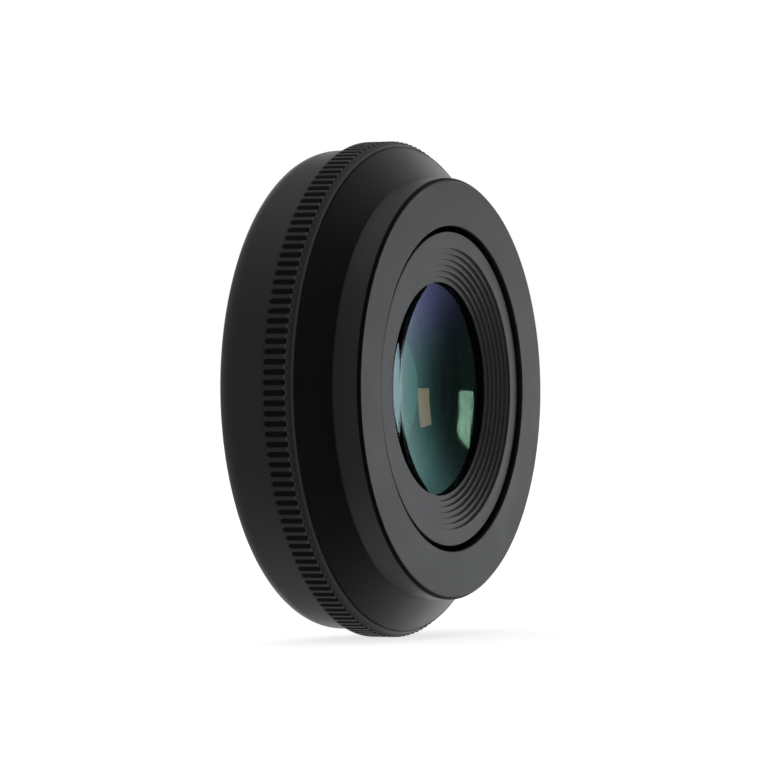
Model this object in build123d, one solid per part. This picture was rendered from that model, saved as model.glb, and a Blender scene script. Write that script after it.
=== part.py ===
from build123d import *
import math
import os

# Macro lens for a phone clip, with a turning focus ring that slides the glass cell forward.
# Frame: the optical axis is Y. The front glass faces -Y, +Z is up, and the origin is the centre of
# the rear seat face, where the lens meets its clip. Lengths are millimetres.
# A depth is measured along the axis from the front flange face towards the rear.
# An angle runs counter-clockwise as seen from the front, and starts at +X.

# Fits
slide_gap = 0.05
running_gap = 0.04
seat_gap = 0.02
overrun = 1.0

# Clear opening, stepped baffle and glass
opening_radius = 8.2
cell_recess = 0.25
step_count = 6
step_width = 0.433
step_depth = 0.155
lip_thickness = 0.15
lip_width = 0.8
glass_chamfer = 0.08
crown_edge = 1.27
crown_front_dome_height = 1.05
crown_rear_dome_height = 1.5
cement_gap = 0.02
flint_edge = 2.78
field_stop_thickness = 0.1
field_stop_width = 1.4
spacer_length = 0.8
spacer_wall = 0.9
inner_edge = 0.9
inner_front_dome_height = 0.6
inner_rear_dome_height = 0.5
cell_retainer_length = 0.8

# Lens cell, its guide pins and their rollers
cell_wall = 2.58
cell_tail = 0.9
baffle_flange_length = 1.65
baffle_skirt_length = 1.1
baffle_skirt_wall = 1.3
baffle_chamfer = 0.12
pin_count = 3
pin_first_angle = 90.0
pin_radius = 0.5
pin_root = 1.75
pin_head_radius = 0.72
pin_head_length = 0.23
roller_wall = 0.28
roller_floor_gap = 0.12
focus_travel = 1.5
focus_turn = 90.0

# Front barrel: flange, cone and the bore round the cell
front_bore_step = 0.9
annular_gap = 0.43
flange_land = 3.7
flange_depth = 2.32
flange_chamfer = 0.25
bore_chamfer = 0.12
sleeve_seat_length = 0.85
cam_recess_step = 0.4
cam_front_gap = 0.45
cone_ring_step = 0.13

# Guide sleeve and cam sleeve
guide_wall = 1.2
guide_flange_length = 0.8
cam_wall = 1.21
cam_end_wall = 0.52
cam_rear_gap = 0.4
cam_flange_reach = 2.3
cam_flange_length = 0.8
cam_flange_room = 1.0

# Focus ring and its slide washers
ring_step = 0.6
ring_width = 2.45
ring_bevel_drop = 0.37
ring_bevel_width = 0.9
ring_rear_chamfer = 0.08
ring_gap = 0.08
groove_count = 155
groove_depth = 0.18
groove_width_share = 0.67
groove_rear_land = 0.1
washer_thickness = 0.18
washer_stand = 0.03
front_washer_inset = 0.7
front_washer_width = 3.0
rear_washer_inset = 0.3
rear_washer_width = 1.0

# Rear housing and seat pad
cavity_gap = 0.5
housing_wall = 1.6
housing_ring_gap = 0.1
rear_wall = 1.95
rear_round = 1.95
housing_chamfer = 0.1
cell_rear_gap = 0.4
pad_thickness = 0.5
pad_rim = 1.15
pad_web = 0.5

# Mount ring with its threaded stub, and the rear element in it
thread_radius = 8.5
thread_pitch = 0.75
thread_depth = 0.32
thread_crest_share = 0.4
thread_chamfer = 0.3
thread_turns = 3
stub_length = 2.8
mount_flange_reach = 2.7
mount_flange_length = 1.0
mount_spigot_step = 0.48
mount_spigot_wall = 0.98
rear_pocket_wall = 1.05
rear_shoulder_width = 0.55
rear_shoulder_length = 0.4
rear_shoulder_sink = 0.05
rear_edge = 1.2
rear_front_dome_height = 0.35
rear_rear_dome_height = 0.4
rear_retainer_length = 0.7

# Spanner slots in the retaining rings
spanner_width = 1.0
spanner_depth = 0.35

# Screws and the focus stop pin
screw_count = 3
sleeve_screw_radius = 0.6
sleeve_screw_head_radius = 1.1
sleeve_screw_head_length = 0.6
sleeve_screw_head_sink = 0.05
sleeve_screw_offset = 1.05
sleeve_screw_grip = 0.7
sleeve_screw_angle = 30.0
mount_screw_radius = 0.5
mount_screw_head_radius = 0.9
mount_screw_head_length = 0.5
mount_screw_head_sink = 0.03
mount_screw_length = 1.6
mount_screw_angle = 90.0
drive_screw_radius = 0.5
drive_screw_head_radius = 0.8
drive_screw_head_length = 0.4
drive_screw_grip = 1.8
drive_screw_angle = 105.0
drive_hole_spare = 0.15
driver_flat_share = 0.55
driver_depth_share = 0.6
stop_pin_radius = 0.5
stop_pin_gap = 0.3
stop_pin_angle = 45.0
stop_pin_reach = 0.6
stop_pin_bury = 0.75

# Turns in degrees
full_turn = 360.0
quarter_turn = 90.0

# Radii, built outwards from the clear opening
glass_radius = opening_radius + lip_width
cell_bore_radius = glass_radius + seat_gap
cell_radius = cell_bore_radius + cell_wall
guide_bore_radius = cell_radius + slide_gap
guide_radius = guide_bore_radius + guide_wall
cam_bore_radius = guide_radius + running_gap
cam_radius = cam_bore_radius + cam_wall
cam_flange_radius = cam_radius + cam_flange_reach
cavity_radius = cam_flange_radius + cavity_gap
housing_radius = cavity_radius + housing_wall
ring_radius = housing_radius + ring_step
ring_bore_radius = cam_radius + seat_gap
ring_front_radius = ring_radius - ring_bevel_drop
cone_rear_radius = ring_front_radius - cone_ring_step
front_bore_radius = cell_radius + front_bore_step
baffle_radius = front_bore_radius - annular_gap
flange_radius = front_bore_radius + flange_land
step_top_radius = opening_radius + step_count * step_width
skirt_bore_radius = glass_radius + slide_gap
skirt_radius = skirt_bore_radius + baffle_skirt_wall
roller_radius = pin_radius + seat_gap + roller_wall
slot_half_width = roller_radius + slide_gap / 2
pin_orbit = cam_flange_radius - cam_flange_reach / 2
sleeve_screw_orbit = guide_radius + sleeve_screw_offset
spigot_radius = thread_radius + mount_spigot_step
mount_flange_radius = thread_radius + mount_flange_reach
mount_screw_orbit = (spigot_radius + mount_flange_radius) / 2
rear_pocket_radius = thread_radius - rear_pocket_wall
rear_glass_radius = rear_pocket_radius - seat_gap
rear_clear_radius = rear_pocket_radius - rear_shoulder_width
pad_inner_radius = mount_flange_radius + pad_web
pad_outer_radius = housing_radius - rear_round - pad_rim

# Depths, from the front glass back to the rear seat
opening_depth = cell_recess + step_count * step_depth
glass_front_depth = opening_depth + lip_thickness
crown_rear_depth = glass_front_depth + crown_edge
flint_front_depth = crown_rear_depth + cement_gap
flint_rear_depth = flint_front_depth + flint_edge
stop_rear_depth = flint_rear_depth + field_stop_thickness
spacer_rear_depth = stop_rear_depth + spacer_length
inner_rear_depth = spacer_rear_depth + inner_edge
cell_retainer_rear_depth = inner_rear_depth + cell_retainer_length
cell_front_depth = cell_recess + baffle_flange_length
cell_rear_depth = cell_retainer_rear_depth + cell_tail
cavity_depth = cell_rear_depth + cell_rear_gap
body_depth = cavity_depth + rear_wall
guide_flange_depth = cavity_depth - guide_flange_length
cam_rear_depth = guide_flange_depth - cam_rear_gap
pin_depth = cam_rear_depth - cam_end_wall - slot_half_width
cam_front_depth = pin_depth - focus_travel - slot_half_width - cam_end_wall
sleeve_seat_depth = cam_front_depth - cam_front_gap
sleeve_front_depth = sleeve_seat_depth - sleeve_seat_length
cam_flange_rear_depth = guide_flange_depth - cam_flange_room
ring_rear_depth = cam_flange_rear_depth - cam_flange_length
ring_front_depth = ring_rear_depth - ring_width
barrel_depth = ring_front_depth - ring_gap
housing_front_depth = ring_rear_depth + housing_ring_gap
front_washer_depth = barrel_depth + washer_stand - washer_thickness
rear_washer_depth = housing_front_depth - washer_stand + washer_thickness
mount_flange_depth = body_depth - mount_flange_length
stub_end_depth = body_depth + stub_length
rear_shoulder_depth = body_depth - rear_shoulder_sink
rear_glass_depth = rear_shoulder_depth + rear_shoulder_length
rear_glass_rear_depth = rear_glass_depth + rear_edge
rear_retainer_rear_depth = rear_glass_rear_depth + rear_retainer_length


def station(depth):
    """The Y coordinate of a depth behind the front flange face."""
    return depth - body_depth


def turned(points):
    """Solid of revolution about the optical axis, from (radius, depth) corners."""
    outline = Polyline([(radius, station(depth)) for radius, depth in points], close=True)
    return revolve(make_face(outline), Axis.Y)


def plain_ring(inner_radius, outer_radius, front_depth, rear_depth):
    """A ring of rectangular section about the optical axis."""
    return turned(
        [
            (inner_radius, front_depth),
            (outer_radius, front_depth),
            (outer_radius, rear_depth),
            (inner_radius, rear_depth),
        ]
    )


def bore_ring(front_depth, rear_depth, wall):
    """A plain ring that fills the lens cell's bore."""
    return plain_ring(glass_radius - wall, glass_radius, front_depth, rear_depth)


def clocked(shape, angle):
    """A shape turned about the optical axis, counter-clockwise as seen from the front."""
    return Rot(0, -angle, 0) * shape


def spread(shape, count, first_angle):
    """Equal copies of a shape round the optical axis."""
    return [clocked(shape, first_angle + index * full_turn / count) for index in range(count)]


def axial_rod(radius, front_depth, rear_depth, orbit):
    """A rod along the optical axis, at a distance from it."""
    rod = Rot(quarter_turn, 0, 0) * Cylinder(radius, rear_depth - front_depth)
    return Pos(orbit, station((front_depth + rear_depth) / 2), 0) * rod


def radial_rod(radius, inner_radius, outer_radius, depth):
    """A rod that points away from the optical axis, along +X."""
    rod = Rot(0, quarter_turn, 0) * Cylinder(radius, outer_radius - inner_radius)
    return Pos((inner_radius + outer_radius) / 2, station(depth), 0) * rod


def dome_arc(clear_radius, edge_depth, height, forward):
    """The arc of a polished surface from the axis to its clear radius; forward is 1 or -1."""
    sphere = (clear_radius**2 + height**2) / (2 * height)
    middle_radius = clear_radius / 2
    middle_height = height - sphere + math.sqrt(sphere**2 - middle_radius**2)
    apex = (0, station(edge_depth - forward * height))
    middle = (middle_radius, station(edge_depth - forward * middle_height))
    return ThreePointArc(apex, middle, (clear_radius, station(edge_depth)))


def lens_element(front_depth, rear_depth, edge_radius, clear_radius, front_arc, rear_arc):
    """A round glass element with flat seats outside its clear radius and a chamfered edge."""
    chamfer_in = edge_radius - glass_chamfer
    corners = [
        (clear_radius, station(front_depth)),
        (chamfer_in, station(front_depth)),
        (edge_radius, station(front_depth + glass_chamfer)),
        (edge_radius, station(rear_depth - glass_chamfer)),
        (chamfer_in, station(rear_depth)),
        (clear_radius, station(rear_depth)),
    ]
    axis_line = Line(rear_arc @ 0, front_arc @ 0)
    outline = Wire([*front_arc.edges(), *Polyline(corners).edges(), *rear_arc.edges(), *axis_line.edges()])
    return revolve(Face(outline), Axis.Y)


def retaining_ring(front_depth, rear_depth, inner_radius, outer_radius):
    """A threaded ring with two spanner slots in its rear face."""
    ring = plain_ring(inner_radius, outer_radius, front_depth, rear_depth)
    slot = Box(2 * outer_radius + overrun, 2 * spanner_depth, spanner_width)
    return ring - Pos(0, station(rear_depth), 0) * slot


def countersunk_blank(radius, head_radius, head_length, length):
    """The outside of a flat-head screw whose head faces +Z at the origin."""
    outline = Polyline(
        [
            (0, 0),
            (head_radius, 0),
            (radius, -head_length),
            (radius, -length),
            (0, -length),
        ],
        close=True,
    )
    return revolve(Plane.XZ * make_face(outline), Axis.Z)


def with_driver(blank, head_radius, head_length):
    """The same screw with a square driver recess in its head."""
    flat = driver_flat_share * head_radius
    return blank - Box(flat, flat, 2 * driver_depth_share * head_length)


def pan_screw(radius, head_radius, head_length, grip):
    """A cheese-head screw: the head stands on the origin and faces +Z, the shank points down."""
    head = Pos(0, 0, head_length / 2) * Cylinder(head_radius, head_length)
    shank = Pos(0, 0, -grip / 2) * Cylinder(radius, grip)
    slot = Box(2 * head_radius + overrun, driver_flat_share * radius, 2 * driver_depth_share * head_length)
    return head + shank - Pos(0, 0, head_length) * slot


def screw_at(screw, orbit, depth):
    """A screw set parallel to the axis, with its head towards the rear."""
    return Pos(orbit, station(depth), 0) * Rot(-quarter_turn, 0, 0) * screw


def make_front_barrel():
    barrel = turned(
        [
            (front_bore_radius + bore_chamfer, 0),
            (flange_radius - flange_chamfer, 0),
            (flange_radius, flange_chamfer),
            (flange_radius, flange_depth),
            (cone_rear_radius, barrel_depth),
            (cam_radius + cam_recess_step, barrel_depth),
            (cam_radius + cam_recess_step, sleeve_seat_depth),
            (guide_radius + seat_gap, sleeve_seat_depth),
            (guide_radius + seat_gap, sleeve_front_depth),
            (front_bore_radius, sleeve_front_depth),
            (front_bore_radius, bore_chamfer),
        ]
    )
    return barrel - front_washer_blank(barrel_depth + overrun, seat_gap)


def front_washer_blank(rear_depth, spare):
    """The front washer's ring, or with a spare width the recess that holds it."""
    outer_radius = cone_rear_radius - front_washer_inset
    inner_radius = outer_radius - front_washer_width
    return plain_ring(inner_radius - spare, outer_radius + spare, front_washer_depth, rear_depth)


def rear_washer_blank(front_depth, spare):
    """The rear washer's ring, or with a spare width the recess that holds it."""
    outer_radius = housing_radius - rear_washer_inset
    inner_radius = outer_radius - rear_washer_width
    return plain_ring(inner_radius - spare, outer_radius + spare, front_depth, rear_washer_depth)


def make_front_slide_washer():
    return front_washer_blank(barrel_depth + washer_stand, 0)


def make_rear_slide_washer():
    return rear_washer_blank(housing_front_depth - washer_stand, 0)


def make_guide_sleeve():
    sleeve = turned(
        [
            (guide_bore_radius, sleeve_front_depth),
            (guide_radius, sleeve_front_depth),
            (guide_radius, guide_flange_depth),
            (cavity_radius - seat_gap, guide_flange_depth),
            (cavity_radius - seat_gap, cavity_depth),
            (guide_bore_radius, cavity_depth),
        ]
    )
    slot = Plane.YZ.offset(cell_radius - overrun) * SlotCenterToCenter(focus_travel, 2 * slot_half_width)
    slot_depth = guide_radius - cell_radius + 2 * overrun
    slot = Pos(0, station(pin_depth - focus_travel / 2), 0) * extrude(slot, slot_depth)
    sleeve -= spread(slot, pin_count, pin_first_angle)
    hole_radius = sleeve_screw_radius + seat_gap
    hole_front = guide_flange_depth - overrun
    hole_rear = cavity_depth + overrun
    tapped = axial_rod(hole_radius, hole_front, hole_rear, sleeve_screw_orbit)
    sleeve -= spread(tapped, screw_count, sleeve_screw_angle)
    return sleeve - make_stop_slot()


def make_stop_slot():
    """Arc slot that the stop pin runs in, as long as the focus turn plus its end gaps."""
    half_width = stop_pin_radius + stop_pin_gap
    path = CenterArc((0, 0), pin_orbit, stop_pin_angle, focus_turn)
    slot = Plane.XZ * SlotArc(path, 2 * half_width)
    length = guide_flange_length + 2 * overrun
    return Pos(0, station(guide_flange_depth - overrun), 0) * extrude(slot, -length)


def make_cam_sleeve():
    sleeve = plain_ring(cam_bore_radius, cam_radius, cam_front_depth, cam_rear_depth)
    sleeve -= spread(make_cam_slot(), pin_count, pin_first_angle)
    flange = plain_ring(cam_radius, cam_flange_radius, ring_rear_depth, cam_flange_rear_depth)
    hole_front = ring_rear_depth - overrun
    hole_rear = cam_flange_rear_depth + overrun
    screw_hole = axial_rod(drive_screw_radius + seat_gap, hole_front, hole_rear, pin_orbit)
    flange -= spread(screw_hole, screw_count, drive_screw_angle)
    pin_hole = axial_rod(stop_pin_radius + seat_gap, hole_front, hole_rear, pin_orbit)
    flange -= clocked(pin_hole, stop_pin_angle)
    return sleeve + flange


def make_cam_slot():
    """Helical slot: it lets a guide pin at angle 0 move forward as the sleeve turns."""
    middle_radius = (cam_bore_radius + cam_radius) / 2
    pitch = focus_travel * full_turn / focus_turn
    path = Helix(pitch=pitch, height=focus_travel, radius=middle_radius, lefthand=True)
    across = cam_radius - cam_bore_radius + overrun
    section_plane = Plane(origin=path @ 0, x_dir=(1, 0, 0), z_dir=path % 0)
    body = sweep(section_plane * Rectangle(across, 2 * slot_half_width), path=path, is_frenet=True)
    body = Pos(0, station(pin_depth), 0) * Rot(quarter_turn, 0, 0) * body
    inner = middle_radius - across / 2
    outer = middle_radius + across / 2
    rest_end = radial_rod(slot_half_width, inner, outer, pin_depth)
    far_end = clocked(radial_rod(slot_half_width, inner, outer, pin_depth - focus_travel), -focus_turn)
    return body + rest_end + far_end


def make_focus_ring():
    blank = turned(
        [
            (ring_bore_radius, ring_front_depth),
            (ring_front_radius, ring_front_depth),
            (ring_radius, ring_front_depth + ring_bevel_width),
            (ring_radius, ring_rear_depth - ring_rear_chamfer),
            (ring_radius - ring_rear_chamfer, ring_rear_depth),
            (ring_bore_radius, ring_rear_depth),
        ]
    )
    ring = blank - make_knurl_cutter()
    hole_front = ring_rear_depth - drive_screw_grip + cam_flange_length - drive_hole_spare
    tapped = axial_rod(drive_screw_radius + seat_gap, hole_front, ring_rear_depth + overrun, pin_orbit)
    return ring - spread(tapped, screw_count, drive_screw_angle)


def make_knurl_cutter():
    """Everything outside a star of V grooves, from the ring's front to short of its rear edge."""
    pitch_angle = 2 * math.pi / groove_count
    root_radius = ring_radius - groove_depth
    tip_radius = root_radius + groove_depth / groove_width_share
    corners = []
    for index in range(groove_count):
        for radius, angle in (
            (root_radius, index * pitch_angle),
            (tip_radius, (index + 1 / 2) * pitch_angle),
        ):
            corners.append((radius * math.cos(angle), radius * math.sin(angle)))
    star = make_face(Polyline(corners, close=True))
    section = Plane.XZ * (Circle(ring_radius + overrun) - star)
    front = ring_front_depth - overrun
    rear = ring_rear_depth - groove_rear_land
    return Pos(0, station(front), 0) * extrude(section, -(rear - front))


def make_rear_housing():
    round_centre = (housing_radius - rear_round, station(body_depth - rear_round))
    round_middle = (
        round_centre[0] + rear_round * math.cos(math.pi / 4),
        round_centre[1] + rear_round * math.sin(math.pi / 4),
    )
    flat_radius = housing_radius - rear_round
    before_round = [
        (cavity_radius, station(housing_front_depth)),
        (housing_radius - housing_chamfer, station(housing_front_depth)),
        (housing_radius, station(housing_front_depth + housing_chamfer)),
        (housing_radius, station(body_depth - rear_round)),
    ]
    after_round = [
        (flat_radius, station(body_depth)),
        (pad_outer_radius + seat_gap, station(body_depth)),
        (pad_outer_radius + seat_gap, station(body_depth - pad_thickness)),
        (pad_inner_radius - seat_gap, station(body_depth - pad_thickness)),
        (pad_inner_radius - seat_gap, station(body_depth)),
        (mount_flange_radius + seat_gap, station(body_depth)),
        (mount_flange_radius + seat_gap, station(mount_flange_depth)),
        (spigot_radius + seat_gap, station(mount_flange_depth)),
        (spigot_radius + seat_gap, station(cavity_depth)),
        (cavity_radius, station(cavity_depth)),
        (cavity_radius, station(housing_front_depth)),
    ]
    rounding = ThreePointArc(before_round[-1], round_middle, after_round[0])
    outline = Wire([*Polyline(before_round).edges(), *rounding.edges(), *Polyline(after_round).edges()])
    housing = revolve(Face(outline), Axis.Y)
    housing -= rear_washer_blank(housing_front_depth - overrun, seat_gap)
    pad_floor = body_depth - pad_thickness
    sink = screw_at(sleeve_screw_blank(seat_gap), sleeve_screw_orbit, pad_floor - sleeve_screw_head_sink)
    head_room = sleeve_screw_head_radius + seat_gap
    access = axial_rod(head_room, pad_floor - sleeve_screw_head_sink, pad_floor, sleeve_screw_orbit)
    housing -= spread(sink, screw_count, sleeve_screw_angle)
    housing -= spread(access, screw_count, sleeve_screw_angle)
    sink = screw_at(mount_screw_blank(seat_gap), mount_screw_orbit, body_depth - mount_screw_head_sink)
    return housing - spread(sink, screw_count, mount_screw_angle)


def make_seat_pad():
    return plain_ring(pad_inner_radius, pad_outer_radius, body_depth - pad_thickness, body_depth)


def make_mount_ring():
    crest = thread_crest_share * thread_pitch
    flank = (thread_pitch - crest) / 2
    thread = []
    depth = body_depth + crest
    for _ in range(thread_turns):
        thread.append((thread_radius, depth))
        thread.append((thread_radius - thread_depth, depth + flank))
        depth += thread_pitch
        thread.append((thread_radius, depth - crest))
    ring = turned(
        [
            (spigot_radius - mount_spigot_wall, cavity_depth),
            (spigot_radius, cavity_depth),
            (spigot_radius, mount_flange_depth),
            (mount_flange_radius, mount_flange_depth),
            (mount_flange_radius, body_depth),
            (thread_radius, body_depth),
            *thread,
            (thread_radius, stub_end_depth - thread_chamfer),
            (thread_radius - thread_chamfer, stub_end_depth),
            (rear_pocket_radius, stub_end_depth),
            (rear_pocket_radius, rear_glass_depth),
            (rear_clear_radius, rear_glass_depth),
            (rear_clear_radius, rear_shoulder_depth),
            (spigot_radius - mount_spigot_wall, rear_shoulder_depth),
        ]
    )
    sink = screw_at(mount_screw_blank(seat_gap), mount_screw_orbit, body_depth - mount_screw_head_sink)
    head_room = mount_screw_head_radius + seat_gap
    head_depth = body_depth - mount_screw_head_sink
    access = axial_rod(head_room, head_depth, body_depth + overrun, mount_screw_orbit)
    ring -= spread(sink, screw_count, mount_screw_angle)
    return ring - spread(access, screw_count, mount_screw_angle)


def sleeve_screw_blank(spare):
    """Screw through the housing's rear wall into the guide sleeve's flange."""
    length = rear_wall - pad_thickness - sleeve_screw_head_sink + sleeve_screw_grip
    radius = sleeve_screw_radius + spare
    head_radius = sleeve_screw_head_radius + spare
    return countersunk_blank(radius, head_radius, sleeve_screw_head_length, length + spare)


def mount_screw_blank(spare):
    """Screw through the mount ring's flange into the housing's rear wall."""
    radius = mount_screw_radius + spare
    head_radius = mount_screw_head_radius + spare
    return countersunk_blank(radius, head_radius, mount_screw_head_length, mount_screw_length + spare)


def make_sleeve_screws():
    depth = body_depth - pad_thickness - sleeve_screw_head_sink
    screw = with_driver(sleeve_screw_blank(0), sleeve_screw_head_radius, sleeve_screw_head_length)
    return spread(screw_at(screw, sleeve_screw_orbit, depth), screw_count, sleeve_screw_angle)


def make_mount_screws():
    depth = body_depth - mount_screw_head_sink
    screw = with_driver(mount_screw_blank(0), mount_screw_head_radius, mount_screw_head_length)
    return spread(screw_at(screw, mount_screw_orbit, depth), screw_count, mount_screw_angle)


def make_drive_screws():
    screw = pan_screw(drive_screw_radius, drive_screw_head_radius, drive_screw_head_length, drive_screw_grip)
    return spread(screw_at(screw, pin_orbit, cam_flange_rear_depth), screw_count, drive_screw_angle)


def make_stop_pin():
    front = cam_flange_rear_depth - stop_pin_bury
    rear = guide_flange_depth + stop_pin_reach
    return clocked(axial_rod(stop_pin_radius, front, rear, pin_orbit), stop_pin_angle)


def make_rear_element():
    front_arc = dome_arc(rear_clear_radius, rear_glass_depth, rear_front_dome_height, 1)
    rear_arc = dome_arc(rear_clear_radius, rear_glass_rear_depth, rear_rear_dome_height, -1)
    return lens_element(
        rear_glass_depth, rear_glass_rear_depth, rear_glass_radius, rear_clear_radius, front_arc, rear_arc
    )


def make_rear_retaining_ring():
    return retaining_ring(
        rear_glass_rear_depth, rear_retainer_rear_depth, rear_clear_radius, rear_glass_radius
    )


def make_lens_cell():
    cell = turned(
        [
            (skirt_radius + seat_gap, cell_front_depth),
            (cell_radius, cell_front_depth),
            (cell_radius, cell_rear_depth),
            (cell_bore_radius, cell_rear_depth),
            (cell_bore_radius, cell_front_depth + baffle_skirt_length + seat_gap),
            (skirt_radius + seat_gap, cell_front_depth + baffle_skirt_length + seat_gap),
        ]
    )
    tapped = radial_rod(pin_radius + seat_gap, cell_radius - pin_root, cell_radius + overrun, pin_depth)
    return cell - spread(tapped, pin_count, pin_first_angle)


def make_baffle_ring():
    steps = []
    for index in range(step_count):
        radius = step_top_radius - index * step_width
        depth = cell_recess + index * step_depth
        steps.append((radius, depth))
        steps.append((radius, depth + step_depth))
    return turned(
        [
            (baffle_radius - baffle_chamfer, cell_recess),
            *steps,
            (opening_radius, opening_depth),
            (opening_radius, glass_front_depth),
            (skirt_bore_radius, glass_front_depth),
            (skirt_bore_radius, cell_front_depth + baffle_skirt_length),
            (skirt_radius, cell_front_depth + baffle_skirt_length),
            (skirt_radius, cell_front_depth),
            (baffle_radius, cell_front_depth),
            (baffle_radius, cell_recess + baffle_chamfer),
        ]
    )


def make_front_crown():
    front_arc = dome_arc(opening_radius, glass_front_depth, crown_front_dome_height, 1)
    rear_arc = dome_arc(opening_radius, crown_rear_depth, crown_rear_dome_height, -1)
    return lens_element(
        glass_front_depth, crown_rear_depth, glass_radius, opening_radius, front_arc, rear_arc
    )


def make_front_flint():
    front_arc = dome_arc(opening_radius, flint_front_depth, crown_rear_dome_height, -1)
    flat = Line((0, station(flint_rear_depth)), (opening_radius, station(flint_rear_depth)))
    return lens_element(flint_front_depth, flint_rear_depth, glass_radius, opening_radius, front_arc, flat)


def make_inner_element():
    clear_radius = glass_radius - spacer_wall
    front_arc = dome_arc(clear_radius, spacer_rear_depth, inner_front_dome_height, 1)
    rear_arc = dome_arc(clear_radius, inner_rear_depth, inner_rear_dome_height, -1)
    return lens_element(spacer_rear_depth, inner_rear_depth, glass_radius, clear_radius, front_arc, rear_arc)


def make_cell_retaining_ring():
    inner_radius = glass_radius - spacer_wall
    return retaining_ring(inner_rear_depth, cell_retainer_rear_depth, inner_radius, glass_radius)


def make_guide_pins():
    head_top = cam_radius - slide_gap
    head_floor = head_top - pin_head_length
    shank = radial_rod(pin_radius, cell_radius - pin_root + seat_gap, head_floor, pin_depth)
    head = radial_rod(pin_head_radius, head_floor, head_top, pin_depth)
    return spread(shank + head, pin_count, pin_first_angle)


def make_guide_rollers():
    outer_end = cam_radius - slide_gap - pin_head_length - seat_gap
    inner_end = cell_radius + roller_floor_gap
    roller = radial_rod(roller_radius, inner_end, outer_end, pin_depth)
    roller -= radial_rod(pin_radius + seat_gap, inner_end - overrun, outer_end + overrun, pin_depth)
    return spread(roller, pin_count, pin_first_angle)


pieces = {
    "front_barrel": make_front_barrel(),
    "front_slide_washer": make_front_slide_washer(),
    "guide_sleeve": make_guide_sleeve(),
    "rear_housing": make_rear_housing(),
    "rear_slide_washer": make_rear_slide_washer(),
    "sleeve_screws": make_sleeve_screws(),
    "mount_ring": make_mount_ring(),
    "mount_screws": make_mount_screws(),
    "seat_pad": make_seat_pad(),
    "rear_element": make_rear_element(),
    "rear_retaining_ring": make_rear_retaining_ring(),
    "focus_ring": make_focus_ring(),
    "cam_sleeve": make_cam_sleeve(),
    "drive_screws": make_drive_screws(),
    "stop_pin": make_stop_pin(),
    "lens_cell": make_lens_cell(),
    "baffle_ring": make_baffle_ring(),
    "front_crown": make_front_crown(),
    "front_flint": make_front_flint(),
    "field_stop": bore_ring(flint_rear_depth, stop_rear_depth, field_stop_width),
    "cell_spacer": bore_ring(stop_rear_depth, spacer_rear_depth, spacer_wall),
    "inner_element": make_inner_element(),
    "cell_retaining_ring": make_cell_retaining_ring(),
    "guide_pins": make_guide_pins(),
    "guide_rollers": make_guide_rollers(),
}

os.makedirs("parts", exist_ok=True)
for name, shape in pieces.items():
    copies = shape if isinstance(shape, list) else [shape]
    solids = [solid for copy in copies for solid in copy.solids()]
    export_step(Compound(children=solids), f"parts/{name}.step")
print("outer diameter", round(2 * ring_radius, 2))
print("front face to seat", round(body_depth, 2))
print("front face to stub end", round(stub_end_depth, 2))
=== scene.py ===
import math

import bpy
from bpy.props import FloatProperty, FloatVectorProperty, IntProperty, PointerProperty
from mathutils import Matrix, Vector


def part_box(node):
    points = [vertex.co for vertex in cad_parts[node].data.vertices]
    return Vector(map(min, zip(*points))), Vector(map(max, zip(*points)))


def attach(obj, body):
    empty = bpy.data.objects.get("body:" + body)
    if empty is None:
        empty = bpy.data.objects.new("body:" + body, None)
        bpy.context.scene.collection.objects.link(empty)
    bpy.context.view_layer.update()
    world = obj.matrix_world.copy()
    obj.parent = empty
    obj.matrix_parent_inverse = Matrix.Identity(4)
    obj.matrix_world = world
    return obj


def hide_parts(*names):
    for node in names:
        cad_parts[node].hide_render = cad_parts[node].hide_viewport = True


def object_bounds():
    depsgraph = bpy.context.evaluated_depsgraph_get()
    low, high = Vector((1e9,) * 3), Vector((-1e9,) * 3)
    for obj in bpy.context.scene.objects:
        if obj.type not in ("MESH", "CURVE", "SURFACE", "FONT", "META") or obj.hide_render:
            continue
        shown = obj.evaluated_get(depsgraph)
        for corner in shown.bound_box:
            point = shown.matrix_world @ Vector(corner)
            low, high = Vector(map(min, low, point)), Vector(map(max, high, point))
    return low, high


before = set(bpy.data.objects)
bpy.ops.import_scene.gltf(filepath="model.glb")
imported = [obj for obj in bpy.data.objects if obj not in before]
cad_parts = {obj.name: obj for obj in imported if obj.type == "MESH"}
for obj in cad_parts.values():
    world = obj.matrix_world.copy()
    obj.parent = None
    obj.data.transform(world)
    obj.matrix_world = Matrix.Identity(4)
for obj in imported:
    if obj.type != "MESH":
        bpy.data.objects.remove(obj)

bl_info = {
    "name": "Macro lens",
    "version": (1, 0, 0),
    "blender": (4, 5, 0),
    "location": "View3D > Sidebar > Lens",
    "description": "Dresses a macro lens: anodised shells, cut knurl, coated glasses and threaded stub",
    "category": "Object",
}

# Lengths are metres. The optical axis is Y and the front glass faces -Y.
MM = 0.001
FULL_TURN = 2 * math.pi
SPIN_STEPS = 256
MERGE_DISTANCE = 0.0005 * MM
cad_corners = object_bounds()


def extent(node):
    """Outer radius, front and rear place along the axis of a round CAD node."""
    low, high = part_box(node)
    return high.x, low.y, high.y


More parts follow.
